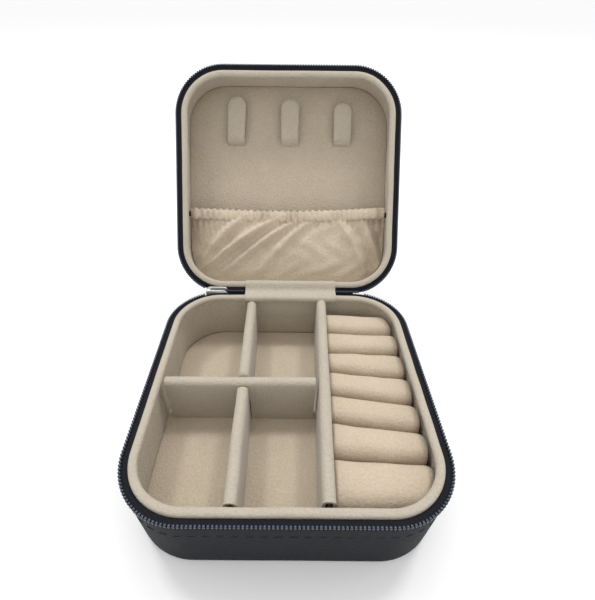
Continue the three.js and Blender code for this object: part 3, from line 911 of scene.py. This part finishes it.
def hinge_strip():
    """The velvet strip from the rear wall over both lips."""
    path = [(2.95, 17.0), (2.95, 21.0), (3.0, 26.4), (4.4, 27.2), (5.25, 28.0), (5.2, 29.3),
            (4.2, 29.98), (2.8, 29.9), (1.6, 29.75), (HALF - HINGE[1], HINGE[2] - 0.1)]
    across_hinge("hinge_strip_velvet", STRIP_LEFT, STRIP_RIGHT, path, 0.45, "pale_velvet",
                 ["base_hinge_strip", "lid_hinge_strip"], ["base_rim_lip_cover", "lid_rim_lip_cover"])


def spine_and_gussets():
    """The leather behind the hinge, and the zip tape beside the strip."""
    path = [(1.1, 22.0), (1.1, 26.0), (1.05, 28.0), (0.8, 29.0), (HALF - HINGE[1], HINGE[2] - 0.3)]
    across_hinge("spine_leather_sheet", STRIP_LEFT, STRIP_RIGHT, path, 0.4, "spine_leather",
                 ["base_spine_leather", "lid_spine_leather"], ["base_zip_tape", "lid_zip_tape"])
    tape = [(1.15, 26.9), (1.15, 28.3), (0.95, 28.8), (HALF - HINGE[1], HINGE[2] - 0.7)]
    left = node_box("zip_slider")[1][0]
    right = node_box("joined_teeth_right")[1][0]
    for name, start, end in (("gusset_left", left, STRIP_LEFT), ("gusset_right", STRIP_RIGHT, right - 3)):
        across_hinge(name, start, end, tape, 0.3, "zip_cloth")


def joined_teeth(side, pitch):
    """The closed stretch of the zip: teeth from both tapes, locked in turn."""
    low, high = node_box("joined_teeth_" + side)
    model = superblock("locked_tooth", (-0.36, -0.85, -0.5), (0.36, 0.35, 0.5), 3.2, 8, 6)
    middle = (low + high) / 2
    step = pitch / 2
    count = int((high[0] - low[0]) / step)

    def placed(index):
        way = 1 if index % 2 else -1

        def move(source):
            x = low[0] + (index + 0.5) * step + source[:, 0] * 0.8
            y = middle[1] + way * source[:, 1] * 0.75
            return np.stack([x, y, middle[2] + source[:, 2] * 1.1], axis=1)
        return move
    piece = repeated("joined_teeth_" + side + "_row", model, [placed(i) for i in range(count)])
    dress(piece, "zip_teeth", "base", "joined_teeth_" + side)


def slider():
    """The slider: two shields over the teeth, a bridge at its open end and two ears."""
    low, high = node_box("zip_slider")
    shield_low = high[2] - 3.65
    plate = 0.75
    back_plate = high[1] - plate
    front = superblock("shield", (low[0], low[1], shield_low), (high[0], low[1] + plate, high[2]), 4, 32, 20)
    back = superblock("shield", (low[0], back_plate, shield_low), high, 4, 32, 20)
    bridge = superblock("bridge", (low[0], low[1] + 0.1, shield_low + 0.2),
                        (low[0] + 2.2, high[1] - 0.1, high[2] - 0.1), 3.4, 24, 16)
    middle = (low[0] + high[0]) / 2
    ear_apart = 2.9
    ear_half = 0.45
    ear_tall = 2.0
    ears = []
    for side in (-1, 1):
        at = middle + side * ear_apart
        ear_top = (at + ear_half, high[1] - 0.03, low[2] + ear_tall)
        ears.append(superblock("ear", (at - ear_half, back_plate, low[2]), ear_top, 4))
    piece = joined("zip_slider_metal", [front, back, bridge] + ears)
    dress(piece, "silver_metal", "slider", "zip_slider")


def pull():
    """The pull: an eye at the top and a rounded tongue with a slightly raised panel."""
    low, high = node_box("zip_pull")
    centre = (low + high) / 2
    around = np.linspace(0, 2 * math.pi, 13)
    section = np.stack([0.45 * np.cos(around), 0.36 * np.sin(around)], axis=1)
    section[-1] = section[0]
    eye = (high[0] - low[0]) / 2 - 0.5

    def put(out, through, angle):
        x = centre[0] + (eye + out) * math.cos(angle)
        z = high[2] - eye - 0.5 + (eye + out) * math.sin(angle)
        return x, centre[1] + through, z
    ring = lattice("eye", swept(section, np.linspace(0, 2 * math.pi, 41), put))
    tongue = superblock("tongue", (low[0] + 0.35, low[1] + 0.05, low[2]),
                        (high[0] - 0.35, high[1] - 0.05, high[2] - 2 * eye - 0.2), 5, 28, 24)
    panel = superblock("panel", (low[0] + 1.2, low[1], low[2] + 1.5),
                       (high[0] - 1.2, high[1], high[2] - 2 * eye - 2), 5, 24, 16)
    piece = joined("zip_pull_metal", [ring, tongue, panel])
    dress(piece, "silver_metal", "pull", "zip_pull")


HOOKS = ((-41.2, 0.7), (-40.4, 0.0), (-38.9, 0.0))  # where each one's tip lies, and its lean


def necklace_hook(number, tip, lean):
    """A velvet tab, sewn into the panel at its root, its round tip standing off."""
    low, high = node_box("necklace_hook_%d" % number)
    centre = (low[0] + high[0]) / 2
    half_width = (high[0] - low[0]) / 2
    root = -19.9
    stand_off = 3.2
    sunk = 0.15
    shaft = np.linspace(0, 0.75, 26)
    round_tip = 0.75 + 0.25 * np.sin(np.linspace(0.08, math.pi / 2, 12))
    around = np.linspace(0, 2 * math.pi, 25)
    columns = []
    for t in np.concatenate([shaft, round_tip]):
        y = root + (tip - root) * t
        rise = stand_off * (1 - math.exp(-max(0, (root - y) - 0.2) / 1.5))
        round_share = quarter_round((y - tip) / half_width)
        wide = half_width * round_share * (0.93 + 0.07 * t)
        thick = 0.62 * max(0.02, min(1, round_share * 1.3))
        x = centre + lean * t + wide * squarish(np.cos(around), 0.8)
        z = PANEL_TOP - sunk + rise + thick * np.sin(around)
        columns.append(np.stack([x, np.full_like(x, y), z], axis=1))
    columns.insert(0, centre_of(columns[0]))
    points = wobble(np.array(columns), 70 + number, 12, 0.1)
    piece = lattice("necklace_hook_%d_velvet" % number, on_half("lid", points))
    # the hook gets the darker copy of the lining velvet, painted shade
    dress(piece, "hook_velvet", "hook_%d" % number, "necklace_hook_%d" % number)


def pocket_reach(y):
    """Half the pocket's width at a height up the lid, following the rounded corners."""
    past = np.clip(y - CORNER_CENTRE, 0, None)
    limit = INSIDE_RADIUS - 0.4
    return CORNER_CENTRE + np.sqrt(np.clip(limit ** 2 - past ** 2, 0.5, None))


def hem_line(x):
    """How far the hem droops or rides up across its width."""
    return np.interp(x, [-46, -20, 0, 25, 46], [-0.9, 0.1, 0.4, -0.4, -1.9])


# Each slack fold: where it lies at the pocket's foot and at its hem, its width and its depth.
POCKET_FOLDS = ((-42, -2, 2.8, 2.4), (-30, 8, 2.4, 1.7), (-46, -20, 2.4, 1.9),
                (-14, 13, 2.6, 1.1), (38, 22, 2.6, 1.8), (46, 34, 2.2, 1.4))


def pocket_height(x, y):
    """The pocket's face above the panel: full at the hem, with gathers and slack folds."""
    thinnest = 0.25
    below = y - POCKET_TOP
    full = POCKET_FULL * (1 - np.clip(below / 33.0, 0, 1) ** 1.5)
    full *= np.clip((1 - (np.abs(x) / 47.5) ** 6), 0.12, 1)
    gather = 0.55 * np.sin(2 * math.pi * (x + 0.6 * np.sin(x / 5)) / GATHER) * np.exp(-below / 4.5)
    folds = np.zeros_like(x)
    for foot_x, hem_x, width, depth in POCKET_FOLDS:
        line = hem_x + (foot_x - hem_x) * np.clip(below / 26, 0, 1) ** 0.8
        fade = np.sin(np.pi * np.clip((below + 1) / 30, 0, 1))
        folds += depth * fade * np.exp(-((x - line) / width) ** 2)
        folds -= 0.6 * depth * fade * np.exp(-((x - line - 2.3 * width) / width) ** 2)
    crumple = 0.35 * np.sin(x / 2.3 + 1.7 * np.sin(y / 3.1)) * np.sin(y / 2.6 + np.sin(x / 5.3))
    fade = np.clip(below / 4, 0, 1) * np.clip((46 - y) / 6, 0, 1)
    return np.maximum(full + gather + 1.3 * folds + crumple * fade, thinnest)


def pocket():
    """The gathered velvet pocket."""
    cloth = 0.35
    u = np.linspace(-1, 1, 181)
    v = np.linspace(0, 1, 49)
    y = POCKET_TOP + v * (INSIDE_HALF - 0.6 - POCKET_TOP)
    grid_y = np.repeat(y[None], len(u), axis=0)
    grid_x = u[:, None] * pocket_reach(grid_y)
    shifted_y = grid_y + hem_line(grid_x) * (1 - v[None]) ** 2
    height = PANEL_TOP + 0.1 + pocket_height(grid_x, grid_y)
    outer = np.stack([grid_x, shifted_y, height], axis=-1)
    inner = outer - np.array([0, 0, cloth])
    sheet_points = np.concatenate([outer, inner[:, ::-1], outer[:, :1]], axis=1)
    middle = (outer + inner) / 2
    edge = np.concatenate([middle, middle[:, ::-1], middle[:, :1]], axis=1)
    sheet_points = np.concatenate([edge[:1], sheet_points, edge[-1:]])
    sheet_points = wobble(sheet_points, 81, 17, 0.25)
    piece = lattice("pocket_velvet", on_half("lid", sheet_points))
    # the pocket gets the lighter copy of the lining velvet, painted light
    dress(piece, "hem_velvet", "lid", "lid_pocket")
    hem = pocket_hem()


def pocket_hem():
    """The ruffled casing round the elastic, its ruffles easing to the right."""
    places = np.linspace(-45.6, 45.6, 381)
    around = np.linspace(0, 2 * math.pi, 17)
    columns = []
    for x in places:
        ease = np.interp(x, [-46, 10, 28, 46], [1, 0.95, 0.45, 0.2])
        ripple = math.sin(2 * math.pi * (x + 0.9 * math.sin(x / 4.3) + 0.5 * math.sin(x / 1.9)) / GATHER)
        ripple *= 0.75 + 0.45 * math.sin(x / 3.1 + 1.2 * math.sin(x / 7.0))
        tall = 2.45 + 0.4 * ease * math.sin(2 * math.pi * x / GATHER + 1)
        y = POCKET_TOP + 0.1 + float(hem_line(x)) + tall * np.cos(around)
        ruffle = ease * ripple
        z = PANEL_TOP + POCKET_FULL + 0.6 * ruffle + (0.75 + 0.25 * ruffle) * np.sin(around)
        fall = 5.76 * max(0, abs(x) / 46 - 0.9)
        columns.append(np.stack([np.full_like(y, x), y, z - fall], axis=1))
    points = np.array([centre_of(columns[0])] + columns + [centre_of(columns[-1])])
    piece = lattice("pocket_hem_velvet", on_half("lid", points))
    # the hem gets the lighter copy of the lining velvet, painted light
    dress(piece, "hem_velvet", "lid", "pocket_elastic_hem")
    ends = []
    for side in (-1, 1):
        x = side * 46.3
        low = (x - 0.7, POCKET_TOP - 1.8, PANEL_TOP + 5.5)
        high = (x + 0.7, POCKET_TOP + 0.6, PANEL_TOP + 6.7)
        end = superblock("elastic", low, high, 4)
        flat = np.array([vertex.co for vertex in end.data.vertices]) * TO_MM
        end.data.vertices.foreach_set("co", (on_half("lid", flat) * MM).ravel())
        ends.append(end)
    elastic = joined("elastic_ends", ends)
    dress(elastic, "elastic", "lid")
    return piece


def boards():
    """The card inside the walls and dividers, which are carried over from the CAD."""
    names = ("base_wall_board", "base_floor_board", "lid_wall_board", "lid_top_board", "partition_core",
             "long_divider_core", "short_divider_core", "ring_roll_bed")
    for name in names:
        node = frame["nodes"][name]
        node.data.materials.clear()
        node.data.materials.append(MATERIALS["grey_board"])


# ---------- stage ----------

def light(name, place, aim, size, watts):
    """A soft square light that looks at a point."""
    bpy.ops.object.light_add(type="AREA", location=place)
    lamp = bpy.context.object
    lamp.name = name
    lamp.data.size = size
    lamp.data.energy = watts
    lamp.rotation_euler = (Vector(aim) - Vector(place)).to_track_quat("-Z", "Y").to_euler()


def make_stage(settings):
    """Pale floor, soft lights from both sides and above, and the camera."""
    bpy.ops.object.select_all(action="DESELECT")
    bpy.ops.mesh.primitive_grid_add(x_subdivisions=40, y_subdivisions=40, size=60)
    floor = bpy.context.object
    floor.name = "studio_floor"
    below_case = 0.0002
    for vertex in floor.data.vertices:
        vertex.co.z = -below_case
    pale = Finish("studio paper", Specular_IOR_Level=0.1)
    grain = pale.noise(60, 3)
    pale.set("Base Color", pale.blend(grain, tint(250, 250, 250), tint(252, 252, 252)))
    pale.set("Roughness", 0.85 + grain * 0.1)
    floor.data.materials.append(pale.material)
    world = bpy.data.worlds.new("studio")
    bpy.context.scene.world = world
    world.use_nodes = True
    sky = world.node_tree.nodes["Background"]
    sky.inputs["Color"].default_value = (1, 1, 1, 1)
    sky.inputs["Strength"].default_value = settings.sky
    for name, side in (("left light", -1), ("right light", 1)):
        light(name, (side * 0.32, 0.3, 0.9), (0, 0, 0.03), 0.14, settings.side_watts)
    light("top light", (0, 0.55, 1.1), (0, 0.03, 0.03), 0.5, settings.top_watts)
    camera = bpy.data.objects.new("camera", bpy.data.cameras.new("camera"))
    bpy.context.scene.collection.objects.link(camera)
    camera.location = (-0.0009, -0.0889, 0.1382)
    camera.rotation_euler = [math.radians(angle) for angle in (49.1275, -0.4425, 0.2164)]
    camera.data.lens = 22.97
    camera.data.shift_x = 0.0195
    camera.data.shift_y = 0.017
    camera.data.clip_start = 0.005
    bpy.context.scene.camera = camera
    bpy.context.scene.view_settings.view_transform = "Standard"


# ---------- add-on ----------

class CaseSettings(bpy.types.PropertyGroup):
    """Sizes of the repeated and soft details, and the main colours."""
    tooth_pitch: bpy.props.FloatProperty(name="Tooth pitch", description="Distance between zip teeth",
                                         default=0.00115, min=0.0006, max=0.003, precision=5, unit="LENGTH")
    stitch_pitch: bpy.props.FloatProperty(name="Stitch pitch", description="Distance between stitches",
                                          default=0.004, min=0.002, max=0.008, precision=5, unit="LENGTH")
    lip_fill: bpy.props.FloatProperty(name="Lip fill", description="How full the rim's padding is",
                                      default=0.9, min=0.0, max=1.0, subtype="FACTOR")
    leather_colour: bpy.props.FloatVectorProperty(name="Leather", description="Lighter colour of the leather",
                                                  default=tint(31, 33, 39), size=4, subtype="COLOR")
    roll_colour: bpy.props.FloatVectorProperty(name="Rolls", description="Lighter colour of the ring rolls",
                                               default=tint(202, 187, 167), size=4, subtype="COLOR")
    lining_colour: bpy.props.FloatVectorProperty(name="Lining", description="Lighter colour of the walls",
                                                 default=tint(196, 185, 168), size=4, subtype="COLOR")


class StageSettings(bpy.types.PropertyGroup):
    """Light on the stage."""
    sky: bpy.props.FloatProperty(name="Sky", description="Strength of the white surroundings",
                                 default=1.0, min=0.0)
    side_watts: bpy.props.FloatProperty(name="Side light", description="Power of each side light",
                                        default=2.3, min=0.0, unit="POWER")
    top_watts: bpy.props.FloatProperty(name="Top light", description="Power of the light above",
                                       default=1.2, min=0.0, unit="POWER")


class CASE_OT_shell(bpy.types.Operator):
    """Build the leather shells and their stitching"""
    bl_idname = "case.shell"
    bl_label = "Leather shells"

    def execute(self, context):
        for half in FACE:
            side_leather(half)
            face_leather(half)
            stitches(half, context.scene.case_settings.stitch_pitch * TO_MM)
        return {"FINISHED"}


class CASE_OT_zip(bpy.types.Operator):
    """Build the zip's tapes, teeth, slider and pull"""
    bl_idname = "case.zip"
    bl_label = "Zip"

    def execute(self, context):
        pitch = context.scene.case_settings.tooth_pitch * TO_MM
        for half in FACE:
            zip_tape(half)
            zip_teeth(half, pitch)
        for side in ("left", "right"):
            joined_teeth(side, pitch)
        slider()
        pull()
        return {"FINISHED"}


class CASE_OT_rims(bpy.types.Operator):
    """Build the padded rim lips"""
    bl_idname = "case.rims"
    bl_label = "Rim lips"

    def execute(self, context):
        for half in FACE:
            rim_lip(half, context.scene.case_settings.lip_fill)
        return {"FINISHED"}


class CASE_OT_linings(bpy.types.Operator):
    """Build the wall linings, the floor pad and the back panel"""
    bl_idname = "case.linings"
    bl_label = "Linings and pads"

    def execute(self, context):
        for half in FACE:
            wall_lining(half)
        floor_pads()
        return {"FINISHED"}


class CASE_OT_hinge(bpy.types.Operator):
    """Build the velvet strip, the spine and the tape beside them"""
    bl_idname = "case.hinge"
    bl_label = "Hinge cloth"

    def execute(self, context):
        hinge_strip()
        spine_and_gussets()
        return {"FINISHED"}


class CASE_OT_dividers(bpy.types.Operator):
    """Build the partition and the two lift-out dividers"""
    bl_idname = "case.dividers"
    bl_label = "Partition and dividers"

    def execute(self, context):
        partition()
        dividers()
        return {"FINISHED"}


class CASE_OT_rolls(bpy.types.Operator):
    """Build the seven ring rolls"""
    bl_idname = "case.rolls"
    bl_label = "Ring rolls"

    def execute(self, context):
        rolls()
        return {"FINISHED"}


class CASE_OT_hooks(bpy.types.Operator):
    """Build the three necklace hooks"""
    bl_idname = "case.hooks"
    bl_label = "Necklace hooks"

    def execute(self, context):
        for number, (tip, lean) in enumerate(HOOKS, 1):
            necklace_hook(number, tip, lean)
        return {"FINISHED"}


class CASE_OT_pocket(bpy.types.Operator):
    """Build the gathered pocket, its hem and the elastic's ends"""
    bl_idname = "case.pocket"
    bl_label = "Pocket"

    def execute(self, context):
        pocket()
        return {"FINISHED"}


class CASE_OT_boards(bpy.types.Operator):
    """Finish the card boards"""
    bl_idname = "case.boards"
    bl_label = "Boards"

    def execute(self, context):
        boards()
        return {"FINISHED"}


class CASE_OT_stage(bpy.types.Operator):
    """Set the floor, lights and camera"""
    bl_idname = "case.stage"
    bl_label = "Stage"

    def execute(self, context):
        make_stage(context.scene.case_stage)
        return {"FINISHED"}


OPERATORS = (CASE_OT_shell, CASE_OT_zip, CASE_OT_rims, CASE_OT_linings, CASE_OT_hinge, CASE_OT_dividers,
             CASE_OT_rolls, CASE_OT_hooks, CASE_OT_pocket, CASE_OT_boards, CASE_OT_stage)


class CASE_PT_panel(bpy.types.Panel):
    """The case's pieces, in the order they are built"""
    bl_idname = "CASE_PT_panel"
    bl_label = "Jewellery case"
    bl_space_type = "VIEW_3D"
    bl_region_type = "UI"
    bl_category = "Case"

    def draw(self, context):
        for operator in OPERATORS:
            self.layout.operator(operator.bl_idname)


CLASSES = (CaseSettings, StageSettings) + OPERATORS + (CASE_PT_panel,)


def register():
    for kind in CLASSES:
        bpy.utils.register_class(kind)
    bpy.types.Scene.case_settings = bpy.props.PointerProperty(type=CaseSettings)
    bpy.types.Scene.case_stage = bpy.props.PointerProperty(type=StageSettings)


def unregister():
    del bpy.types.Scene.case_stage
    del bpy.types.Scene.case_settings
    for kind in reversed(CLASSES):
        bpy.utils.unregister_class(kind)


def main():
    """Builds every piece in turn."""
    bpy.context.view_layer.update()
    register()
    make_materials(bpy.context.scene.case_settings)
    for operator in OPERATORS:
        name = operator.bl_idname.split(".")[1]
        getattr(bpy.ops.case, name)()


if __name__ == "__main__":
    main()
